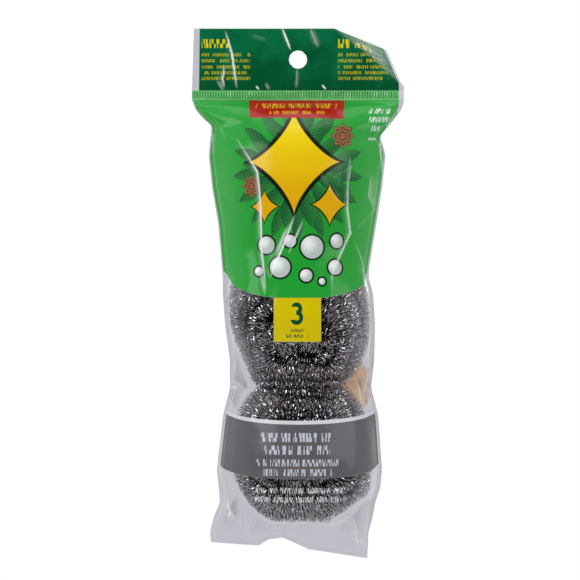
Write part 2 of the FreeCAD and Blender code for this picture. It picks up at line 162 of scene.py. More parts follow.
def new_piece(name, points, faces, materials, body, nodes, smooth=True):
    """A mesh piece that rides on a body in place of CAD nodes."""
    mesh = bpy.data.meshes.new(name)
    mesh.from_pydata(points, [], faces)
    mesh.polygons.foreach_set("use_smooth", [smooth] * len(mesh.polygons))
    for material in materials:
        mesh.materials.append(material)
    piece = bpy.data.objects.new(name, mesh)
    bpy.context.scene.collection.objects.link(piece)
    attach(piece, body)
    if nodes:
        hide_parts(*nodes)
    return piece


steel, shade = new_material("stainless_wire")
place = shade.node("TexCoord", {}, {}, output="Object")
patches = shade.node("TexNoise", {}, {"Vector": place, "Scale": 300.0, "Detail": 2.0})
drawn = shade.node("TexNoise", {}, {"Vector": place, "Scale": 2600.0, "Detail": 3.0})
bright, dull, straw = paint(255, 252, 253), paint(132, 129, 131), paint(232, 190, 162)
metal_colour = drawn.ease(0.35, 0.7).blend(dull, bright)
metal_colour = (patches.ease(0.56, 0.72) * 0.5).blend(metal_colour, straw)
drawn_bump = shade.node("Bump", {}, {"Strength": 0.1, "Distance": 0.0001, "Height": drawn})
set_surface(steel, shade.node("BsdfPrincipled", {}, {
    "Base Color": metal_colour,
    "Metallic": 1.0,
    "Roughness": drawn.ease(0.2, 0.8) * 0.1 + 0.08,
    "Normal": drawn_bump,
}))


def drift(count, length, seed):
    """A smooth wander between about -1 and 1, new about every length steps."""
    return np.array([noise.noise((i / length, seed * 7.13, 0.5)) * 1.6 for i in range(count)])


def ball_outline(ball, around):
    """Radius of a ball seen from the front, in a direction, pressed flat where a neighbour lies."""
    half_height = np.where(np.sin(around) > 0, ball.above, ball.below)
    sideways = np.abs(np.cos(around) / ball.half_width)
    upwards = np.abs(np.sin(around) / half_height)
    outline = (sideways**SQUARENESS + upwards**SQUARENESS) ** (-1 / SQUARENESS)
    for faces, distance in ball.flats:
        towards = np.maximum(np.cos(around - math.radians(faces)), 0.1)
        outline = np.minimum(outline, distance / towards)
    return outline


# How full a ball's rim and faces are, and how deep and wide its dimples are
ROUND_RIM, FLAT_FACE = 0.8, 0.9
DIMPLE_SHARE, DIMPLE_REACH = 0.3, 0.4


def wound_path(turns, ball, share, lean, half_depth, seed):
    """The line that a strand follows round a ball, from one dimple over the rim to the other.

    It goes round in rings, evenly spaced, that lean to and fro and so lie across each other.
    """
    count = turns * STEPS_PER_TURN
    angle = np.linspace(0, 2 * math.pi * turns, count)
    dimple_level = 77
    levels = np.radians(np.linspace(-dimple_level, dimple_level, 300))
    outwards = np.gradient(np.cos(levels) ** ROUND_RIM * ball.half_width)
    backwards = np.gradient(np.sin(levels) * half_depth)
    run = np.cumsum(np.hypot(outwards, backwards))
    level = np.interp(np.linspace(run[0], run[-1], count), run, levels)
    to_and_fro = 0.13 * np.cos(0.94 * angle + 2 * drift(count, 700, seed))
    level = level + to_and_fro + 0.09 * drift(count, 50, seed + 5)
    way = np.stack([np.cos(level) * np.cos(angle), np.sin(level), np.cos(level) * np.sin(angle)])
    (down, right), (x, y, z) = ball.dimple, way
    down = down + lean
    y, z = y * math.cos(down) - z * math.sin(down), y * math.sin(down) + z * math.cos(down)
    x, y = x * math.cos(right) - y * math.sin(right), x * math.sin(right) + y * math.cos(right)
    around = np.arctan2(z, x)
    layer = share * (0.98 + 0.03 * drift(count, 60, seed + 3))
    from_dimple = (math.pi / 2 - np.abs(level)) / DIMPLE_REACH
    layer = layer * (1 - DIMPLE_SHARE * np.exp(-(from_dimple**2)))
    curl_height = CURL * CURL_FLATNESS
    radius = (ball_outline(ball, around) - curl_height) * layer * np.hypot(x, z) ** ROUND_RIM
    depth = (half_depth - curl_height) * layer * np.sign(y) * np.abs(y) ** FLAT_FACE
    up = radius * np.sin(around)
    right_of = radius * np.cos(around) - ball.lean * np.minimum(up, 0)
    return np.stack([right_of, depth, up], axis=1)


def along(path, places):
    """Points at given distances along a path."""
    run = np.concatenate([[0], np.cumsum(np.linalg.norm(np.diff(path, axis=0), axis=1))])
    return np.stack([np.interp(places, run, path[:, i]) for i in range(3)], axis=1)


def unit(vectors):
    return vectors / np.linalg.norm(vectors, axis=1, keepdims=True)


def curled_wire(path, curl_radius, pitch, width, seed):
    """Points and faces of a flat wire that curls round a path, each curl a little differently."""
    chance = np.random.default_rng(seed)
    length = np.linalg.norm(np.diff(path, axis=0), axis=1).sum()
    curls = int(length / pitch)
    count = curls * STEPS_PER_CURL

    def each_curl(low, high):
        """A value at random for each curl, which runs into that of the next."""
        values = chance.uniform(low, high, curls)
        return np.interp(np.arange(count) / STEPS_PER_CURL, np.arange(curls), values)

    spine = along(path, np.linspace(0, length, count))
    forward = unit(np.gradient(spine, axis=0))
    out = unit(spine - forward * np.sum(spine * forward, axis=1, keepdims=True))
    side = np.cross(forward, out)
    twist = np.cumsum(2 * math.pi / STEPS_PER_CURL * each_curl(0.7, 1.3))
    rise, sideways = out * np.cos(twist)[:, None], side * np.sin(twist)[:, None]
    spoke = unit(rise / CURL_FLATNESS + sideways)
    swell = curl_radius * each_curl(0.8, 1.25)
    lean = swell * each_curl(-0.5, 0.5) * np.cos(twist + each_curl(0, 2 * math.pi))
    middle = spine + (rise * CURL_FLATNESS + sideways) * swell[:, None] + forward * lean[:, None]
    flat = unit(np.cross(unit(np.gradient(middle, axis=0)), spoke))
    roll = each_curl(-0.6, 0.6)[:, None]
    across = flat * np.cos(roll) + spoke * np.sin(roll)
    into = flat * np.sin(roll) - spoke * np.cos(roll)
    ring = [middle - across * width / 2, middle + across * width / 2, middle + into * width / 3]
    points = np.stack(ring, axis=1).reshape(-1, 3)
    start = 3 * np.arange(count - 1)
    sides = [
        np.stack([start + i, start + j, start + j + 3, start + i + 3], axis=1)
        for i, j in ((0, 1), (1, 2), (2, 0))
    ]
    last = 3 * (count - 1)
    return points, np.concatenate(sides).tolist() + [[2, 1, 0], [last, last + 1, last + 2]]


# Three wire balls. Each has an outer strand that shows its curls, loose curls that stand off it,
# and an inner strand round a dense core. In the bag they press each other flat where they meet.
# The core's near-black colour, mottled like tangled wire, is painted shade of the deep inside of a ball
core_painted_shade_metal, shade = new_material("dense_inner_wire")
place = shade.node("TexCoord", {}, {}, output="Object")
tangle = shade.node("TexNoise", {}, {"Vector": place, "Scale": 900.0, "Detail": 4.0, "Distortion": 2.5})
core_bump = shade.node("Bump", {}, {"Strength": 1.0, "Distance": 0.0006, "Height": tangle})
set_surface(core_painted_shade_metal, shade.node("BsdfPrincipled", {}, {
    "Base Color": tangle.ease(0.5, 0.75).blend(paint(10, 9, 10), paint(80, 77, 78)),
    "Metallic": 1.0,
    "Roughness": 0.42,
    "Normal": core_bump,
}))


def dense_core(reach, half_depth, seed):
    """Points and faces of a lumpy ball, flattened and dimpled like the wire round it."""
    around, across = 72, 36
    rows = []
    for j in range(across + 1):
        level = math.pi * (j / across - 0.5)
        for i in range(around):
            turn = 2 * math.pi * i / around
            flank, up = math.cos(level), math.sin(level)
            way = Vector((flank * math.cos(turn), up, flank * math.sin(turn)))
            lump = 1 + 0.07 * noise.noise(way * 6 + Vector((seed, 0, 0)))
            dip = 1 - DIMPLE_SHARE * math.exp(-((flank / 0.35) ** 2))
            rows.append((reach * lump * way.x, half_depth * lump * dip * up, reach * lump * way.z))
    faces = [
        [j * around + i, j * around + (i + 1) % around,
         (j + 1) * around + (i + 1) % around, (j + 1) * around + i]
        for j in range(across) for i in range(around)
    ]
    return np.array(rows), faces


# Name, turns, share of the ball's reach, angle at which it crosses the others, radius of a curl,
# pitch and width of the wire in mm, and the strands of the solid model that it stands for
LAYERS = (
    ("outer", 25, 1.0, 0.0, CURL, 1.3, 0.42, ("front_strand", "rim_strand", "back_strand")),
    ("loose", 6, 1.0, 1.2, 1.1 * CURL, 1.9, 0.38, ("front_shoulder_strand", "back_shoulder_strand")),
    ("inner", 19, 0.9, 0.5, CURL, 1.5, 0.46, ()),
)
# How deep the core lies below the face of a ball
CORE_BELOW = 3.4 * CURL


def ball_place(ball):
    """Middle of a ball and half its depth."""
    body = f"{ball.name}_scrubber"
    middle = np.array(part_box(f"{body}_rim_strand")).mean(axis=0) + (ball.off, 0, 0)
    return middle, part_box(f"{body}_back_strand")[1][1]


for seed, ball in enumerate(BALLS, start=1):
    body = f"{ball.name}_scrubber"
    middle, half_depth = ball_place(ball)
    for layer, turns, share, lean, curl, pitch, width, strands in LAYERS:
        path = wound_path(turns, ball, share, lean, half_depth, seed + turns / 7)
        points, faces = curled_wire(path, curl, pitch * MM, width * MM, seed * 10 + turns)
        nodes = [f"{body}_{strand}" for strand in strands]
        name = f"{ball.name}_{layer}_wire"
        new_piece(name, points + middle, faces, [steel], body, nodes, smooth=False)
    points, faces = dense_core(ball.half_width - CORE_BELOW, half_depth - CORE_BELOW, seed)
    nodes = [f"{body}_core"]
    new_piece(f"{ball.name}_core", points + middle, faces, [core_painted_shade_metal], body, nodes)


# The bag. Two sheets of clear film, printed and welded along the sides. They are slack: they
# lie on the scrubbers, go flat past them and crease where they were folded.
seal_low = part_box("crimp_seal")[0][2]
ROWS, COLUMNS = 380, 128
# Width of the side welds, over what width a film rises beside them and below the seal, and half
# the distance between the films where they are welded
WELD, SIDE_RISE, TOP_RISE, HALF_GAP = 1.0 * MM, 2 * MM, 3 * MM, 0.12 * MM
# How far a film lies off the wire, at the rim of a ball and on its face
OFF_BALL, OFF_FACE = 1.5 * MM, 1.6 * MM
# The tail below the lowest ball waves to and fro from this height down
TAIL_TOP, TAIL_RUN = -222 * MM, 20 * MM
# Left and right edge of the bag at each height below the hang hole, as it hangs, in mm
SIDES = np.array([
    (-20.3, -53.0, 53.0),
    (-24.5, -51.6, 52.0),
    (-29.0, -48.1, 48.7),
    (-33.0, -43.2, 45.6),
    (-38.4, -43.7, 40.9),
    (-43.0, -44.2, 42.4),
    (-48.0, -44.6, 43.7),
    (-64.0, -43.0, 42.0),
    (-82.0, -39.9, 39.2),
    (-104.0, -38.0, 35.6),
    (-109.0, -37.5, 35.3),
    (-117.0, -37.5, 37.5),
    (-132.0, -36.5, 38.5),
    (-150.0, -34.1, 38.1),
    (-164.0, -34.0, 36.5),
    (-178.0, -37.5, 40.2),
    (-205.0, -40.6, 42.0),
    (-214.0, -39.6, 41.2),
    (-221.0, -39.0, 38.8),
    (-229.0, -42.2, 37.2),
    (-236.0, -44.0, 35.2),
    (-241.0, -43.5, 35.0),
    (-250.0, -43.0, 34.5),
]) * MM
# How far a film stands out at each height in mm, as a share of its fullest
STAND = np.array([
    (-20.3, 0.01), (-23, 0.16), (-27, 0.42), (-34, 0.7), (-44, 0.9), (-59, 1.0), (-75, 0.9), (-94, 0.78),
    (-114, 0.9), (-129, 1.0), (-144, 0.9), (-163, 0.78), (-183, 0.9), (-198, 1.0), (-213, 0.9),
    (-223, 0.7), (-230, 0.42), (-236, 0.1), (-250, 0.03),
]) * (MM, -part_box("bag_front_film")[0][1])
# The bottom edge, from left to right, in mm
BOTTOM_EDGE = np.array([
    (-46, -241), (-19.5, -242.4), (-14.5, -239.4), (-7.5, -238.6), (5.5, -244.7), (36, -249.3),
]) * MM


SIDE_ROUNDING, STAND_ROUNDING = 14, 30


def smooth_line(knots, at, rounding):
    """Curves through knots, which are rows of (place, values), rounded for some steps at each knot."""
    fine = np.linspace(knots[0, 0], knots[-1, 0], 1200)
    order = np.argsort(knots[:, 0])
    kernel = np.hanning(2 * rounding + 1)
    kernel /= kernel.sum()
    curves = []
    for column in range(1, knots.shape[1]):
        raw = np.interp(fine, knots[order, 0], knots[order, column])
        padded = np.pad(raw, rounding, mode="reflect", reflect_type="odd")
        soft = np.convolve(padded, kernel, mode="valid")
        step = np.argsort(fine)
        curves.append(np.interp(at, fine[step], soft[step]))
    return curves


# Creases of the front film: each runs through points (across, up) in mm, and has a height and
# a width in mm and a share of painted highlight along it and of painted light and shade beside it
FRONT_CREASES = (
    (((-31, -39), (-20, -57), (-18.5, -72), (-18, -96), (-15.5, -118)), 0.9, 4, 0.95),
    (((25, -50), (24.5, -75), (26, -87), (21, -98), (17, -107), (16.5, -120)), 0.8, 4, 0.8),
    (((-1, -77), (-8, -95), (-14, -110)), 0.7, 3, 1.0),
    (((3, -80), (-5, -98)), 0.5, 2.5, 0.8),
    (((-5, -84), (-11, -98)), 0.5, 2.5, 0.8),
    (((26, -48), (25.5, -62)), 0.5, 2, 0.6),
    (((34.5, -110), (31, -98), (26.5, -87)), 0.9, 9, 0.62),
    (((26.5, -87), (33, -80.5), (39, -74)), 0.8, 8, 0.5),
    (((38.5, -77), (35, -68), (36, -58)), 0.8, 6, 0.45),
    (((-29, -88), (-24, -110), (-27, -128)), 0.8, 6, 0.15),
    (((-18, -106), (-16, -119)), 0.5, 3, 0.6),
    (((-46, -24), (-38, -34), (-34, -44)), 1.2, 6, 0.35),
    (((-51, -23), (-46, -31), (-42.5, -38), (-42, -52)), 1.2, 4, 0.6),
    (((46, -24), (39, -33), (36, -45)), 1.2, 6, 0.4),
    (((51, -24), (45, -33), (41, -42), (42.5, -58)), 1.2, 3, 0.85),
    (((-36.5, -108), (-35, -122), (-36, -140)), 0.8, 4, 0.2),
    (((-33, -118), (-34, -136), (-31, -152), (-32.5, -166)), 1.2, 5, 0.22),
    (((-34, -158), (-28, -163), (-20, -170)), 1.0, 5, 0.3),
    (((-34.5, -168), (-30, -176), (-22, -181)), 1.0, 5, 0.25),
    (((34, -108), (36.5, -124), (36, -144)), 1.0, 4, 0.25),
    (((31, -116), (34, -134), (32, -150)), 0.9, 5, 0.25),
    (((27.5, -157), (31, -166), (33, -175)), 1.2, 4, 0.7),
    (((36, -154), (32.5, -166), (33.5, -177)), 1.2, 3, 0.6),
    (((35, -146), (37.5, -160), (36, -178)), 0.8, 3, 0.4),
    (((-38, -184), (-40, -200), (-37, -214)), 0.9, 3, 0.4),
    (((40, -184), (41, -200), (39, -214)), 0.9, 3, 0.4),
    (((-39, -204), (-38, -220), (-41, -232)), 1.2, 5, 0.5),
    (((-35.5, -217), (-34, -225), (-31.5, -229)), 1.2, 5, 0.75),
    (((-29, -211), (-34, -222), (-43, -237)), 1.3, 9, 0.45),
    (((-20, -228), (-25, -238)), 1.2, 8, 0.4),
    (((-9, -231), (-8, -239)), 1.2, 7, 0.4),
    (((-13, -231), (2, -233), (14, -232), (27, -225)), 1.2, 5, 0.4),
    (((38, -211), (27, -227), (15, -237)), 1.3, 8, 0.5),
    (((27, -227), (31, -241)), 1.2, 7, 0.55),
    (((20, -233), (24, -246)), 1.0, 6, 0.35),
    (((34, -216), (35, -230), (33, -247)), 1.0, 4, 0.5),
    (((29.0, -240.2), (30.2, -240.2)), 0.3, 1.5, 1.0),
    (((31.3, -238.5), (32, -240.2), (31.3, -242)), 0.3, 1.5, 0.6),
    (((-34, -225.2), (-34.4, -228.6)), 0.3, 1.5, 1.0),
    (((-33.6, -163.7), (-30.4, -163.7)), 0.3, 1.5, 1.0),
    (((5, -236), (13, -233.5), (25, -228)), 0.8, 4, 0.45),
    (((-41, -221), (-42.5, -238)), 0.8, 3, 0.4),
    (((-37, -229), (-38, -240)), 0.8, 3, 0.35),
    (((-28, -226), (-29, -240)), 0.7, 3, 0.3),
    (((26, -232), (29, -236), (30, -244)), 0.8, 3, 0.4),
)
BACK_CREASES = (
    (((34, -28), (29, -46), (22, -70), (24, -96)), 0.9, 5, 0.7),
    (((-36, -30), (-28, -52), (-23, -72), (-22, -98)), 0.8, 5, 0.8),
    (((4, -34), (-4, -60), (2, -82)), 0.7, 5, 0.45),
    (((12, -70), (8, -98), (12, -118)), 0.7, 4, 0.6),
    (((-8, -88), (-14, -108), (-12, -124)), 0.7, 4, 0.5),
    (((-30, -120), (-26, -160)), 0.8, 6, 0.1),
    (((24, -130), (30, -172)), 0.8, 6, 0.1),
    (((-34, -210), (-30, -236)), 1.0, 6, 0.1),
    (((28, -214), (24, -240)), 1.0, 6, 0.1),
)


def small_creases(count, seed):
    """Short straight creases at random, most of them running along the bag."""
    chance = np.random.default_rng(seed)
    creases = []
    for _ in range(count):
        x, z = chance.uniform(-38, 38), chance.uniform(-240, -26)
        turn, length = chance.normal(0, 0.6), chance.uniform(6, 26)
        reach = np.array([math.sin(turn), math.cos(turn)]) * length / 2
        line = ((x - reach[0], z - reach[1]), (x + reach[0], z + reach[1]))
        creases.append((line, chance.uniform(-0.35, 0.45), chance.uniform(2.5, 7), 0))
    return tuple(creases)


def crease_fields(creases, across, up, facets=1.0):
    """Height in metres and painted light, -1 to 1, that creases give a film at points (across, up).

    A crease has a painted highlight along its line, and beside it the film has painted light
    at one side and painted shade at the other.
    """
    height, white, facet = (np.zeros_like(across) for _ in range(3))
    for points, rise, width, share in creases:
        line = np.array(points) * MM
        runs = np.linalg.norm(np.diff(line, axis=0), axis=1)
        starts = np.concatenate([[0], np.cumsum(runs)])
        nearest = np.full_like(across, 1.0)
        place, beside = np.zeros_like(across), np.zeros_like(across)
        for (x0, z0), (x1, z1), start, run in zip(line, line[1:], starts, runs):
            share_along = ((across - x0) * (x1 - x0) + (up - z0) * (z1 - z0)) / run**2
            held = np.clip(share_along, 0, 1)
            gap = np.hypot(across - x0 - held * (x1 - x0), up - z0 - held * (z1 - z0))
            closer = gap < nearest
            nearest = np.where(closer, gap, nearest)
            place = np.where(closer, (start + held * run) / starts[-1], place)
            beside = np.where(closer, (across - x0) * (z1 - z0) - (up - z0) * (x1 - x0), beside)
        fade = np.clip(4 * place * (1 - place), 0, 1) ** 0.6
        slope = np.clip(1 - nearest / (width * MM), 0, None) ** 1.3
        height += rise * MM * fade * slope
        sharp = max(share - 0.25, 0) / 0.75
        white = np.maximum(white, sharp * fade * np.clip(1.4 - nearest / (0.5 * MM), 0, 1))
        facet += facets * share * fade * slope * np.where(beside > 0, 0.55, -0.45)
    return height, np.where(white > 0.05, np.maximum(white, facet), np.clip(facet, -0.5, 0.7))


def soft_max(first, second, room):
    return (first + second + np.sqrt((first - second) ** 2 + room**2)) / 2


def film_sheet(side, creases, seed):
    """Grid of a film's points, and its print place and painted light and shade. side is -1 in front."""
    rows, columns = np.linspace(0, 1, ROWS + 1), np.linspace(-1, 1, COLUMNS + 1)
    share, across_share = np.meshgrid(rows, columns, indexing="ij")
    left, right = smooth_line(SIDES, seal_low + share * (STAND[-1, 0] - seal_low), SIDE_ROUNDING)
    x = (left + right) / 2 + (right - left) / 2 * across_share
    z = seal_low + share * (np.interp(x, BOTTOM_EDGE[:, 0], BOTTOM_EDGE[:, 1]) - seal_low)
    left, right = smooth_line(SIDES, z, SIDE_ROUNDING)
    half = (right - left) / 2
    x = (left + right) / 2 + half * across_share
    (stand,) = smooth_line(STAND, z, STAND_ROUNDING)
    chord = half - WELD
    bend = (chord**2 + stand**2) / (2 * stand)
    depth = np.sqrt(bend**2 - np.minimum(np.abs(half * across_share), chord) ** 2) - bend + stand
    waist, outside = np.zeros_like(x), np.ones_like(x)
    for ball in BALLS:
        middle, half_depth = ball_place(ball)
        above = z - middle[2]
        right_of = x - middle[0] + ball.lean * np.minimum(above, 0)
        around = np.arctan2(above, right_of)
        gap = np.hypot(right_of, above) / (ball_outline(ball, around) + OFF_BALL)
        outside = outside * np.clip((gap - 1) / 0.05, 0, 1)
        beside_ball = np.exp(-np.clip(gap - 1, 0, None) * 9)
        waist = waist + beside_ball * np.exp(-(((np.abs(above) - PRESSED_FLAT) / (14 * MM)) ** 2))
        over = (half_depth + OFF_FACE) * np.clip(1 - gap**2.5, 0, None) ** 0.45
        depth = soft_max(depth, over, 2 * MM)
    edge = np.clip((half * (1 - np.abs(across_share)) - WELD) / SIDE_RISE, 0, 1)
    edge = edge * edge * (3 - 2 * edge)
    top = np.clip((seal_low - z) / TOP_RISE, 0, 1)
    fold, white = crease_fields(creases + small_creases(90, seed), x, z)
    slack = np.array([[noise.noise((a * 55, b * 38, seed)) for a, b in zip(*row)] for row in zip(x, z)])
    taut = depth * edge * top + HALF_GAP
    depth = (depth + fold + slack * 0.7 * MM) * edge * top + HALF_GAP
    tail = np.clip((TAIL_TOP - z) / TAIL_RUN, 0, 1)
    wave = np.sin(x * 105 + 0.6) * 2.2 * MM + np.sin(x * 41 - 1.1) * 2.2 * MM
    sway = np.sin(z * 61 + 0.4 + across_share) * 1.2 * MM * top * across_share**2
    run = np.hypot(np.diff(x, axis=1), np.diff(taut, axis=1))
    run = np.concatenate([np.zeros_like(x[:, :1]), np.cumsum(run, axis=1)], axis=1)
    across = run - np.array([[np.interp(0, *pair)] for pair in zip(x, run)])
    from_edge = np.minimum(run, run[:, -1:] - run)
    at_sides, below_balls = (np.abs(x) - 24 * MM) / (8 * MM), (-z - 225 * MM) / (8 * MM)
    loose_film = np.clip(np.maximum(at_sides, below_balls), 0, 1)
    # Painted light and shade: paler and greyer patches where loose film is crumpled, painted shade on
    # the film beside the balls where they meet, and pale and grey lines along the bottom weld
    painted_shading = 0.35 * np.clip(slack, -0.4, 0.4) * loose_film - 0.3 * waist * outside
    bottom_weld = z - np.interp(x, BOTTOM_EDGE[:, 0], BOTTOM_EDGE[:, 1])
    painted_shading = painted_shading + 0.3 * np.cos(bottom_weld / MM * 3.2) * np.clip(1 - bottom_weld / (3 * MM), 0, 1)
    white = np.where(white > 0.4, white, np.clip(white + painted_shading, -0.5, 0.7))
    points = np.stack([x, side * depth + wave * tail + sway, z], axis=2)
    return points, np.stack([across, z, from_edge], axis=2), white


front, front_print, front_painted_light = film_sheet(-1, FRONT_CREASES, 3)
back, back_print, back_painted_light = film_sheet(1, BACK_CREASES, 8)


def sheet_pair(front, back, skip=None):
    """Points and faces of two grids of the same size, joined all round and facing outwards."""
    rows, columns = front.shape[:2]
    number = np.arange(rows * columns).reshape(rows, columns)
    quads = np.stack([number[:-1, :-1], number[1:, :-1], number[1:, 1:], number[:-1, 1:]], axis=2)
    kept = quads.reshape(-1, 4) if skip is None else quads.reshape(-1, 4)[~skip.ravel()]
    edges = {}
    for a, b in np.concatenate([kept[:, [i, (i + 1) % 4]] for i in range(4)]).tolist():
        if edges.pop((b, a), None) is None:
            edges[a, b] = True
    back_start = rows * columns
    joins = [[b, a, a + back_start, b + back_start] for a, b in edges]
    points = np.concatenate([front.reshape(-1, 3), back.reshape(-1, 3)])
    return points, kept.tolist() + (kept[:, ::-1] + back_start).tolist() + joins, len(kept)


def add_marks(piece, marks):
    """Gives each point of a piece its place in the print and its painted light and shade."""
    prints = np.concatenate([place.reshape(-1, 3) for place, _ in marks])
    whites = np.concatenate([white.ravel() for _, white in marks])
    for name, kind, field, values in (
        ("print_place", "FLOAT_VECTOR", "vector", prints.ravel()),
        ("crease_white", "FLOAT", "value", whites),
    ):
        piece.data.attributes.new(name, kind, "POINT").data.foreach_set(field, values)


def print_place(shade):
    """Place in the print in mm: across from the middle, up from the hang hole, in from the edge."""
    place = shade.node("Attribute", {"attribute_name": "print_place"}, {}, output="Vector")
    axes = (shade.node("SeparateXYZ", {}, {"Vector": place}, output=axis) for axis in ("X", "Y", "Z"))
    return tuple(axis / MM for axis in axes)


def crease_white(shade):
    return shade.node("Attribute", {"attribute_name": "crease_white"}, {}, output="Fac")


def print_noise(shade, across, up, settings):
    """Noise that lies in the print, in mm."""
    spot = shade.node("CombineXYZ", {}, {"X": across, "Y": up})
    return shade.node("TexNoise", {}, {"Vector": spot, **settings})


def film_bump(shade, across, up):
    """Fine ripples of thin film."""
    ripple = print_noise(shade, across, up, {"Scale": 0.12, "Detail": 2.0, "Distortion": 0.8})
    return shade.node("Bump", {}, {"Strength": 0.2, "Distance": 0.001, "Height": ripple})


def clear_film(shade, normal, tint):
    """Thin clear plastic: see-through, with the gloss of its outer face."""
    inside = shade.node("NewGeometry", {}, {}, output="Backfacing")
    gloss = (shade.node("Fresnel", {}, {"IOR": 1.45, "Normal": normal}) - 0.03) * (1 - inside)
    through = shade.node("BsdfTransparent", {}, {"Color": tint})
    shine = shade.node("BsdfGlossy", {}, {"Color": (1, 1, 1, 1), "Roughness": 0.16, "Normal": normal})
    held_gloss = (gloss * 1.4).maths("MINIMUM", 0.35).maths("MAXIMUM", 0.0)
    return shade.node("MixShader", {}, {0: held_gloss, 1: through, 2: shine})


def printed_film(shade, colour, normal):
    return shade.node("BsdfPrincipled", {}, {
        "Base Color": colour,
        "Roughness": 0.2,
        "Specular IOR Level": 0.18,
        "Normal": normal,
    })


def loose_colour(painted_light_field):
    """Colour of film that has no print: hazed, with painted highlights and painted shade from its
    creases.
    """
    creased = painted_light_field.ease(-0.05, 0.05).blend(PAINTED_SHADE_GREY, WHITE)
    return abs(painted_light_field).ease(0.08, 0.4).blend(HAZE_GREY, creased)


def haze_and_sheen(from_edge, up):
    """Share of hazy film, partly painted sheen, on film without print: most at the edges, little under
    the band.
    """
    return (1 - from_edge / 28).maths("MAXIMUM", 0.0) ** 1.4 * (up.ease(-212, -200) * 0.28 + 0.24)


FILM_TINT = (0.725, 0.72, 0.755, 1)
PANEL_GREEN, EDGE_GREEN = paint(32, 154, 50), paint(50, 162, 66)
GOLD, PALE_GOLD, RED = paint(222, 168, 4), paint(232, 206, 10), paint(164, 20, 10)
WHITE, PAINTED_SHADE_GREY, INK = paint(238, 239, 241), paint(112, 112, 118), paint(16, 30, 18)
HAZE_GREY = paint(208, 207, 213)
BAND_GREY, SQUARE_YELLOW = paint(90, 89, 94), paint(205, 185, 0)


def ring_distance(across, up, x, z):
    """Distance of a place in the print from a point in it, in mm."""
    return ((across - x) ** 2 + (up - z) ** 2) ** 0.5


def sparkle(across, up, x, z, size):
    """Under 1 inside a four-pointed sparkle."""
    return (abs(across - x) / size + 1e-4) ** 0.72 + (abs(up - z) / (size * 1.1) + 1e-4) ** 0.72


def stroke_rows(across, up, x, rows):
    """Mask of rows of small random strokes about x, in groups.

    Each row has a height, half its length and half the height of its strokes.
    """
    mask = 0
    for z, half_length, half_stroke in rows:
        groups, upper, lower = (
            across.node(
                "TexNoise",
                {"noise_dimensions": "1D"},
                {"W": across * per_mm + z * shift, "Scale": 1.0, "Detail": 0.0},
            )
            for per_mm, shift in ((0.3, 17.3), (1.5 / half_stroke, 5.1), (1.5 / half_stroke, 9.7))
        )
        strokes = lower + (upper - lower) * (up - z).ease(-0.1, 0.1)
        row = strokes.ease(0.46, 0.53) * groups.ease(0.36, 0.4)
        row = row * abs(up - z).ease(half_stroke + 0.15, half_stroke - 0.15)
        mask = (row * abs(across - x).ease(half_length + 0.2, half_length - 0.2)).maths("MAXIMUM", mask)
    return mask


def leaf_ring(across, up, count, turned, ring, length, width):
    """Mask and shade, 0 to 1, of a ring of leaves round the middle of the panel."""
    wedge = 2 * math.pi / count
    turn = (up + 56).maths("ARCTAN2", across) + math.pi + turned
    spoke = turn.maths("MODULO", wedge) - wedge / 2
    reach = ring_distance(across, up, 0, -56)
    along_leaf, off_leaf = reach * spoke.maths("COSINE") - ring, reach * spoke.maths("SINE")
    mask = ((1 - (along_leaf / length) ** 2.0) * width - abs(off_leaf)).ease(-0.15, 0.15)
    veins = (abs(off_leaf) * 1.3 - along_leaf).maths("PINGPONG", 1.0)
    return mask, (veins * 0.6 + (off_leaf / width).ease(-1, 1) * 0.5).maths("MINIMUM", 1.0)


front_film, shade = new_material("front_film")
across, up, from_edge = print_place(shade)
normal = film_bump(shade, across, up)
# Light green panel with a rounded lower edge
bow = (abs(across) / 46) ** 2.5
right_margin = up.ease(-27, -25) * 2.1 + up.ease(-38, -42) * 0.5 + 0.4
inside_margin = (from_edge - (across.ease(-1, 1) * (right_margin - 0.6) + 0.6)).ease(-0.12, 0.12)
panel = (up - (bow * 12.5 - 119.4)).ease(-0.25, 0.25) * inside_margin
colour = (abs(across) / 44).ease(0.5, 1.0).blend(PANEL_GREEN, EDGE_GREEN)
# Wreath of broad leaves, and sparkles on it
for count, turned, ring, length, width in ((17, 0.1, 26, 9.5, 3.0), (13, 0.35, 19, 10.5, 4.0)):
    mask, shine = leaf_ring(across, up, count, turned, ring, length, width)
    colour = mask.blend(colour, shine.blend(paint(6, 70, 36), paint(48, 130, 62)))
gold = ((up + 52) / 22).ease(-1.0, 1.0).blend(GOLD, PALE_GOLD)
for x, z, size in ((-2, -52, 23), (16, -73, 9), (-17, -74, 7)):
    star = sparkle(across, up, x, z, size)
    colour = star.ease(1.14, 1.11).blend(colour, INK)
    colour = star.ease(1.03, 1.0).blend(colour, gold)
# Brown rosettes beside the sparkles
for x, z, size in ((23, -39, 6.5), (-24, -64, 5.5)):
    petals = ((up - z).maths("ARCTAN2", across - x) * 8).maths("COSINE")
    bloom = ring_distance(across, up, x, z) / (petals * 0.14 + 0.86)
    rings = bloom.maths("PINGPONG", size / 6) / (size / 6)
    brown = rings.blend(paint(66, 36, 22), paint(168, 112, 74))
    colour = bloom.ease(size + 0.2, size - 0.1).blend(colour, brown)
# Bubbles below the wreath
for x, z, size in (
    (-16, -93, 5.2), (-4, -91, 4.0), (7, -94, 6.6), (20, -91, 4.4), (-9, -104, 6.0), (19, -104, 4.6),
    (-20, -106, 3.2), (4, -108, 4.0), (12, -111, 2.6),
):
    ring = ring_distance(across, up, x, z)
    glint = ring_distance(across, up, x - size * 0.3, z + size * 0.3).ease(0, size)
    colour = ring.ease(size + 0.15, size - 0.15).blend(colour, INK)
    colour = ring.ease(size - 0.8, size - 1.1).blend(colour, glint.blend(WHITE, paint(176, 190, 184)))
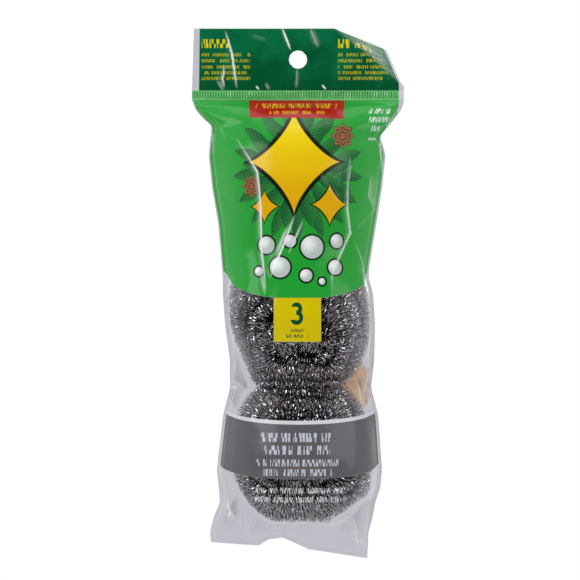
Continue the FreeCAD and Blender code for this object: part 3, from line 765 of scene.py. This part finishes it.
# Red label with two rows of strokes, under the seal, and pale rows right of it
label = abs(across + 0.7).ease(24.0, 23.7) * abs(up + 24.9 + across / 60).ease(5.2, 4.9)
rows = stroke_rows(across, up, -0.7, ((-23.4, 20.5, 1.3), (-27.1, 14.0, 0.8)))
colour = label.blend(colour, rows.blend(RED, paint(222, 168, 20)))
rows = stroke_rows(across, up, 42, (
    (-26.0, 6.0, 1.3), (-30.3, 6.0, 1.3), (-34.8, 4.0, 1.3), (-40.0, 3.5, 0.6),
))
colour = (rows * 0.85).blend(colour, WHITE)
# Yellow square with a plain number
square = abs(across + 0.4).ease(12.0, 11.7) * abs(up + 129.9).ease(11.0, 10.7)
number = 0
for z, size in ((-124.4, 2.0), (-128.8, 2.5)):
    stroke = abs(ring_distance(across * 1.12, up, -0.8, z) - size).ease(1.2, 1.0)
    gone = (across + 0.8).ease(0.0, -0.3) * abs(up + 126.7).ease(3.3, 3.1)
    number = (stroke * (1 - gone)).maths("MAXIMUM", number)
number = stroke_rows(across, up, -0.5, ((-135.2, 3.4, 0.8), (-137.9, 5.6, 0.8))).maths("MAXIMUM", number)
colour = square.blend(colour, number.blend(SQUARE_YELLOW, paint(10, 74, 40)))
# Grey band with a pale line along its upper edge and its ends
crown, foot = (abs(across) / 48) ** 2.2 * 5.0, (abs(across) / 48) ** 2.6 * 5.0
over_top, over_foot = up - (crown - 181.6), up - (foot - 208.4)
band = over_top.ease(2.0, 1.8) * over_foot.ease(-0.15, 0.15) * from_edge.ease(1.0, 1.2)
inner_band = over_top.ease(0.2, -0.1) * from_edge.ease(1.7, 1.9)
band_colour = (abs(across) / 46).ease(0.5, 1.0).blend(BAND_GREY, paint(98, 97, 102))
rows = stroke_rows(across, up, -0.5, (
    (-187.9, 18.5, 2.2), (-194.1, 16.5, 2.2), (-200.4, 21.0, 1.7), (-205.2, 17.5, 1.7),
))
band_colour = rows.blend(band_colour, paint(186, 190, 200))
colour = band.blend(colour, inner_band.blend(paint(206, 208, 214), band_colour))
# Two pale rows on the clear film below the band
rows = stroke_rows(across, up, 0, ((-214.2, 23.0, 1.3), (-218.8, 25.0, 1.3))) * 0.65
colour = rows.ease(0.0, 0.2).blend(colour, WHITE)
printed = panel.maths("MAXIMUM", square).maths("MAXIMUM", band).maths("MAXIMUM", rows)
# Painted highlights of creases, and painted light and shade of folds, crumples and the film between the
# balls
painted_light_field = crease_white(shade)
colour = painted_light_field.ease(0.1, 0.95).blend(colour, WHITE)
colour = printed.blend(loose_colour(painted_light_field), colour)
set_surface(front_film, shade.node("MixShader", {}, {
    0: printed.maths("MAXIMUM", abs(painted_light_field) * 0.75).maths("MAXIMUM", haze_and_sheen(from_edge, up)),
    1: clear_film(shade, normal, FILM_TINT),
    2: printed_film(shade, colour, normal),
}))

back_film, shade = new_material("back_film")
across, up, from_edge = print_place(shade)
normal = film_bump(shade, across, up)
# Green panel above, and a mottled orange print with strokes on it beside the lower neck
panel = up.ease(-104.3, -103.7) * from_edge.ease(2.6, 2.8)
ragged = print_noise(shade, across, up, {"Scale": 0.3})
patch = (ring_distance(across / 1.2, up, 27, -163) + ragged * 9).ease(16.5, 15.5)
patch = patch * from_edge.ease(0.3, 0.6)
mottle = print_noise(shade, across, up, {"Scale": 0.2, "Detail": 3.0, "Distortion": 0.8})
tan = shade.node(
    "ValToRGB",
    {"stops": [
        (0.2, paint(104, 62, 0)),
        (0.42, paint(190, 124, 10)),
        (0.54, paint(222, 168, 80)),
        (0.7, paint(236, 132, 84)),
    ]},
    {"Fac": mottle + (across - 36) * 0.024 + (up + 164) * 0.014},
)
rows = stroke_rows(across, up, 42, ((-157.5, 3.0, 2.2),))
tan = (rows * 0.8).blend(tan, paint(206, 74, 40))
rows = stroke_rows(across, up, 28, ((-163.5, 6.0, 0.9), (-167.0, 6.0, 0.9)))
tan = (rows * 0.7).blend(tan, paint(70, 48, 10))
green = (abs(across) / 44).ease(0.4, 1.0).blend(PANEL_GREEN, EDGE_GREEN)
colour = patch.blend(green, tan)
printed = panel.maths("MAXIMUM", patch * 0.85)
# Painted highlights of creases, and painted light and shade of folds and crumples
painted_light_field = crease_white(shade)
colour = painted_light_field.ease(0.2, 0.95).blend(colour, WHITE)
colour = printed.ease(0.0, 0.5).blend(loose_colour(painted_light_field), colour)
light_through = shade.node("MixShader", {}, {
    0: patch,
    1: shade.node("BsdfTranslucent", {}, {"Color": PANEL_GREEN}),
    2: shade.node("BsdfTranslucent", {}, {"Color": paint(208, 148, 40)}),
})
set_surface(back_film, shade.node("MixShader", {}, {
    0: printed.maths("MAXIMUM", abs(painted_light_field) * 0.5).maths("MAXIMUM", haze_and_sheen(from_edge, up) * 0.5),
    1: clear_film(shade, normal, FILM_TINT),
    2: shade.node("MixShader", {}, {
        0: printed.ease(0.0, 0.5) * 0.55,
        1: printed_film(shade, colour, normal),
        2: light_through,
    }),
}))

points, faces, front_count = sheet_pair(front, back)
bag = new_piece("bag_film", points, faces, [front_film, back_film], "bag",
                ["bag_front_film", "bag_back_film"])
add_marks(bag, ((front_print, front_painted_light), (back_print, back_painted_light)))
sides_of_film = np.ones(len(faces), dtype=np.int32)
sides_of_film[:front_count] = 0
bag.data.polygons.foreach_set("material_index", sides_of_film)


# The crimp seal. Heated jaws with fine ribs press both films into one corrugated strip, which
# closes the bag. The print above the bag's panel runs on over it.
seal_left, seal_right = (corner[0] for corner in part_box("crimp_seal"))
fold_joint = next(joint for joint in frame["joints"] if joint["name"] == "bag_swing")
fold_height = fold_joint["pos_m"][2]
RIB_PITCH, RIB_RISE = 1.33 * MM, 0.2 * MM
rib_x = np.arange(seal_left, seal_right, RIB_PITCH / 8)
rib_x = np.append(rib_x, seal_right)
# Heights of the grid's rows, and which of them the ribs reach
rib_z = np.array([fold_height, -15.75 * MM, -16.1 * MM, -18.0 * MM, -19.7 * MM, -20.0 * MM, seal_low])
pressed = np.array([0, 0, 1, 1, 1, 0, 0])
grid_z, grid_x = np.meshgrid(rib_z, rib_x, indexing="ij")
rib = np.cos(2 * math.pi * (grid_x - seal_left) / RIB_PITCH) * RIB_RISE
warp = 0.2 * MM * np.sin(grid_x * 70)
middle_y = (rib + warp) * pressed[:, None]
crimp_front = np.stack([grid_x, middle_y - HALF_GAP, grid_z], axis=2)
crimp_back = np.stack([grid_x, middle_y + HALF_GAP, grid_z], axis=2)

crimp_film, shade = new_material("crimped_film")
across, up, _ = print_place(shade)
normal = film_bump(shade, across, up)
ridge = ((across - seal_left / MM) / (RIB_PITCH / MM) * 2 * math.pi).maths("COSINE")
ribbed = abs(up + 17.9).ease(2.1, 1.8)
# The ribs are painted pale on their crests and dark green in their grooves, painted light and shade, and
# some crests get painted glints
colour = (ridge.ease(-0.9, 0.2) * ribbed).blend(paint(112, 190, 118), paint(42, 152, 58))
colour = abs(up + 19.9).ease(0.5, 0.1).blend(colour, paint(120, 196, 120))
glint = print_noise(shade, across, up, {"Scale": 0.22, "Detail": 2.0}).ease(0.5, 0.68)
colour = (glint * ridge.ease(0.1, -0.8) * ribbed * 0.5).blend(colour, paint(214, 240, 214))
# A clear strip at the right end
colour = across.ease(50.3, 50.6).blend(colour, WHITE)
set_surface(crimp_film, shade.node("MixShader", {}, {
    0: across.ease(50.6, 50.3).maths("MAXIMUM", 0.45),
    1: clear_film(shade, normal, FILM_TINT),
    2: printed_film(shade, colour, normal),
}))
points, faces, _ = sheet_pair(crimp_front, crimp_back)
crimp = new_piece("crimp_seal_film", points, faces, [crimp_film], "bag", ["crimp_seal"])
crimp_print = np.stack([grid_x, grid_z, grid_x * 0], axis=2)
add_marks(crimp, ((crimp_print, np.zeros_like(grid_x)),) * 2)


# The header. Above the seal the two films go on as a flat tab with a punched hang hole. They
# are printed dark green but for a clear strip at each side, and a corner is folded back.
hole_reach = 4.5 * MM
header_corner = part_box("header_front_film")[1]
# The pack's header was cut a little lower than its solid is
CUT_LOWER = 1.3 * MM
half_width, header_top = header_corner[0], header_corner[2] - CUT_LOWER
# The corner folds along a line from here on the top edge to the right end of the seal
FOLD_X, FOLD_RADIUS, FOLD_TURN = 16 * MM, 2 * MM, math.radians(63)
# The left edge is cut aslant by this much at its top, which draws in the last tenth of the film
SLANT, SLANT_FROM = 1.0 * MM, 0.9
HEADER_CREASES = (
    (((-36.5, 15), (-33, 3), (-30.5, -15)), 0.7, 5, 0.9),
    (((-37, -2), (-37.5, -11)), 0.5, 3, 0.7),
    (((-8, 16), (-3.5, 4.4)), 0.7, 4, 0.95),
    (((5, 16), (7, 9), (11, 4)), 0.9, 6, 0.4),
    (((-1, -5), (-2, -15)), 0.6, 4, 0.35),
    (((-28, 11), (-10, 6)), 0.6, 6, 0.05),
    (((-38, -7), (-37, -14)), 0.6, 3, 0.75),
    (((-21, -13), (-19.5, -15)), 0.4, 2, 0.9),
    (((12, -12.5), (14, -15)), 0.4, 2, 0.9),
)
# Soft sheens where the header's film bends a little, given like its creases
HEADER_SHEENS = (
    (((-37.5, -15.5), (-40.5, -10.5)), 0.2, 4, 0.75),
    (((-14.5, -15.5), (-16.5, -11.5)), 0.2, 3, 0.6),
    (((-1, -15), (-0.5, -4)), 0.2, 2.5, 0.6),
    (((10.5, 6), (8, 10), (6, 15.8)), 0.3, 4, 0.7),
    (((-24, 13), (-15, 10)), 0.3, 4, 0.4),
)


def spaced(edge_low, edge_high, counts):
    """Grid lines between two edges, with lines at both sides of the hang hole."""
    low_run = np.linspace(edge_low, -hole_reach, counts[0])
    hole_run = np.linspace(-hole_reach, hole_reach, 15)
    high_run = np.linspace(hole_reach, edge_high, counts[1])
    return np.concatenate([low_run[:-1], hole_run, high_run[1:]])


header_rows = spaced(fold_height, header_top, (18, 20))[::-1]
header_columns = spaced(-half_width, half_width, (74, 74))
flat_z, flat_x = np.meshgrid(header_rows, header_columns, indexing="ij")
# The grid's square ring round the hole becomes the hole's circle
box_reach = np.maximum(np.abs(flat_x), np.abs(flat_z))
true_reach = np.maximum(np.hypot(flat_x, flat_z), 1e-9)
blend_reach = np.clip((box_reach - hole_reach) / (5 * MM), 0, 1)
rounding = (box_reach * (1 - blend_reach) + true_reach * blend_reach) / true_reach
flat_x, flat_z = flat_x * rounding, flat_z * rounding
centre_reach = np.hypot(flat_x[:-1, :-1] + flat_x[1:, 1:], flat_z[:-1, :-1] + flat_z[1:, 1:]) / 2
in_hole = centre_reach < hole_reach * 0.985

fold_run = np.array([half_width - FOLD_X, fold_height - header_top])
fold_way = fold_run / np.linalg.norm(fold_run)
corner_way = np.array([-fold_way[1], fold_way[0]])
past = (flat_x - FOLD_X) * corner_way[0] + (flat_z - header_top) * corner_way[1]
bent = np.clip(past / FOLD_RADIUS, 0, FOLD_TURN)
beyond = np.clip(past - FOLD_RADIUS * FOLD_TURN, 0, None)
shown = np.where(past < 0, past, FOLD_RADIUS * np.sin(bent) + beyond * math.cos(FOLD_TURN))
behind = FOLD_RADIUS * (1 - np.cos(bent)) + beyond * math.sin(FOLD_TURN)
at_left = np.clip(-flat_x / half_width - SLANT_FROM, 0, None) / (1 - SLANT_FROM)
drawn_in = SLANT * at_left * (flat_z - fold_height) / (header_top - fold_height)
header_x = flat_x + corner_way[0] * (shown - past) + drawn_in
header_z = flat_z + corner_way[1] * (shown - past)
fold, header_painted_light = crease_fields(HEADER_CREASES, flat_x, flat_z, facets=0.4)
sheen_fold, sheen_painted_light = crease_fields(HEADER_SHEENS, flat_x, flat_z)
fold, header_painted_light = fold + sheen_fold, np.maximum(header_painted_light, np.clip(sheen_painted_light, 0, 0.35))
ripple = np.array([
    [noise.noise((a * 42, b * 36, 4.2)) for a, b in zip(*row)] for row in zip(flat_x, flat_z)
])
hold = np.clip((flat_z - fold_height) / (6 * MM), 0, 1)
bulge = (fold + 0.9 * MM * ripple) * hold
header_sheets = []
for side in (-1, 1):
    out = bulge - side * 0.15 * MM
    header_sheets.append(np.stack([
        header_x + corner_way[0] * np.sin(bent) * out,
        behind - np.cos(bent) * out,
        header_z + corner_way[1] * np.sin(bent) * out,
    ], axis=2))

header_film, shade = new_material("header_film")
across, up, _ = print_place(shade)
normal = film_bump(shade, across, up)
printed = across.ease(-49.6, -49.3) * across.ease(50.6, 50.3)
uneven = print_noise(shade, across, up, {"Scale": 0.07, "Detail": 2.0})
colour = (uneven + up * 0.012).ease(0.3, 0.75).blend(paint(0, 82, 43), paint(3, 106, 66))
# Rows of strokes at each side, the first one larger
for x, short, long in ((-36, 7.0, 12.2), (32.5, 9.5, 12.5)):
    rows = stroke_rows(across, up, x - long + short, ((8.0, short, 2.2),))
    lines = stroke_rows(across, up, x, [(z, long, 0.8) for z in (2.4, -0.6, -3.7, -6.6, -9.4)])
    colour = rows.maths("MAXIMUM", lines * 0.7).blend(colour, paint(206, 196, 30))
# Painted highlights along the creases and painted sheens where the film bends
painted_light_field = crease_white(shade)
colour = painted_light_field.ease(0.05, 0.9).blend(colour, paint(240, 246, 242))
set_surface(header_film, shade.node("MixShader", {}, {
    0: printed,
    1: clear_film(shade, normal, FILM_TINT),
    2: printed_film(shade, colour, normal),
}))
points, faces, _ = sheet_pair(*header_sheets, skip=in_hole)
header = new_piece("header_film", points, faces, [header_film], "header",
                   ["header_front_film", "header_back_film"])
header_print = np.stack([flat_x, flat_z, flat_x * 0], axis=2)
add_marks(header, ((header_print, header_painted_light), (header_print, header_painted_light * 0)))


# Stage: a pale floor under the hanging pack and a white surround, with soft lamps.
floor_mesh = bpy.data.meshes.new("floor")
FLOOR_REACH, FLOOR_HEIGHT = 0.5, -0.33
rim = [
    (FLOOR_REACH * math.cos(turn), FLOOR_REACH * math.sin(turn), FLOOR_HEIGHT)
    for turn in np.linspace(0, 2 * math.pi, 96)[:-1]
]
floor_mesh.from_pydata(rim, [], [list(range(len(rim)))])
floor = bpy.data.objects.new("floor", floor_mesh)
bpy.context.scene.collection.objects.link(floor)
floor_paint, shade = new_material("pale_floor")
place = shade.node("TexCoord", {}, {}, output="Object")
grain = shade.node("TexNoise", {}, {"Vector": place, "Scale": 30.0, "Detail": 3.0})
matt_paint = shade.node("BsdfPrincipled", {}, {
    "Base Color": grain.blend((0.84, 0.84, 0.84, 1), (0.88, 0.88, 0.88, 1)),
    "Roughness": 0.7,
})
# Away from the pack the floor runs into the white of the room
from_pack = shade.node("VectorMath", {"operation": "LENGTH"}, {0: place}, output="Value")
looked_at = 0
for ray in ("Is Camera Ray", "Is Glossy Ray", "Is Transmission Ray"):
    looked_at = shade.node("LightPath", {}, {}, output=ray).maths("MAXIMUM", looked_at)
set_surface(floor_paint, shade.node("MixShader", {}, {
    0: from_pack.ease(0.36, 0.55) * looked_at,
    1: matt_paint,
    2: shade.node("Emission", {}, {"Color": (1, 1, 1, 1), "Strength": 1.0}),
}))
floor_mesh.materials.append(floor_paint)

world = bpy.data.worlds.new("studio")
bpy.context.scene.world = world
world.use_nodes = True
world.node_tree.nodes.clear()
shade = Shade(world.node_tree)
# The room is white all round, but for the dark side where the photographer stands
way = shade.node("TexCoord", {}, {}, output="Generated")
towards = shade.node("SeparateXYZ", {}, {"Vector": way}, output="Y")
lit_room = towards.ease(-0.9, -0.1) * 0.95 + 0.05
mirrored = shade.node("LightPath", {}, {}, output="Is Glossy Ray") * lit_room
seen = mirrored
for ray in ("Is Camera Ray", "Is Transmission Ray"):
    seen = shade.node("LightPath", {}, {}, output=ray).maths("MAXIMUM", seen)
lit = shade.node("LightPath", {}, {}, output="Is Diffuse Ray") * 0.42
surround = shade.node("Background", {}, {"Color": (1, 1, 1, 1), "Strength": seen.maths("MAXIMUM", lit)})
output = world.node_tree.nodes.new("ShaderNodeOutputWorld")
world.node_tree.links.new(surround.socket, output.inputs["Surface"])

for name, spot_at, size, power in (
    ("key", (-0.95, -0.85, 0.45), 0.8, 8.8),
    ("fill", (1.05, -0.75, 0.1), 0.8, 5.1),
    ("top", (0.0, -0.1, 0.9), 0.8, 3.0),
    ("rear", (0.2, 0.9, 0.3), 0.8, 5.0),
):
    lamp = bpy.data.lights.new(name, "AREA")
    lamp.shape, lamp.size, lamp.energy = "DISK", size, power
    holder = bpy.data.objects.new(name, lamp)
    bpy.context.scene.collection.objects.link(holder)
    holder.location = spot_at
    aim = Vector((0, 0, -0.11)) - Vector(spot_at)
    holder.rotation_euler = aim.to_track_quat("-Z", "Y").to_euler()

# The camera looks straight at the front. The photograph's 580 pixels span 290 mm at the pack.
PIXEL, FRAME_PIXELS = 0.5 * MM, 580
HANG_HOLE_PIXEL = (298, 59.6)
distance = 1.8
camera = bpy.data.cameras.new("camera")
camera.lens = camera.sensor_width * distance / (FRAME_PIXELS * PIXEL)
eye = bpy.data.objects.new("camera", camera)
bpy.context.scene.collection.objects.link(eye)
eye.location = (
    (FRAME_PIXELS / 2 - HANG_HOLE_PIXEL[0]) * PIXEL,
    -distance,
    (HANG_HOLE_PIXEL[1] - FRAME_PIXELS / 2) * PIXEL,
)
eye.rotation_euler = (math.pi / 2, 0, 0)
bpy.context.scene.camera = eye
bpy.context.scene.view_settings.view_transform = "Standard"
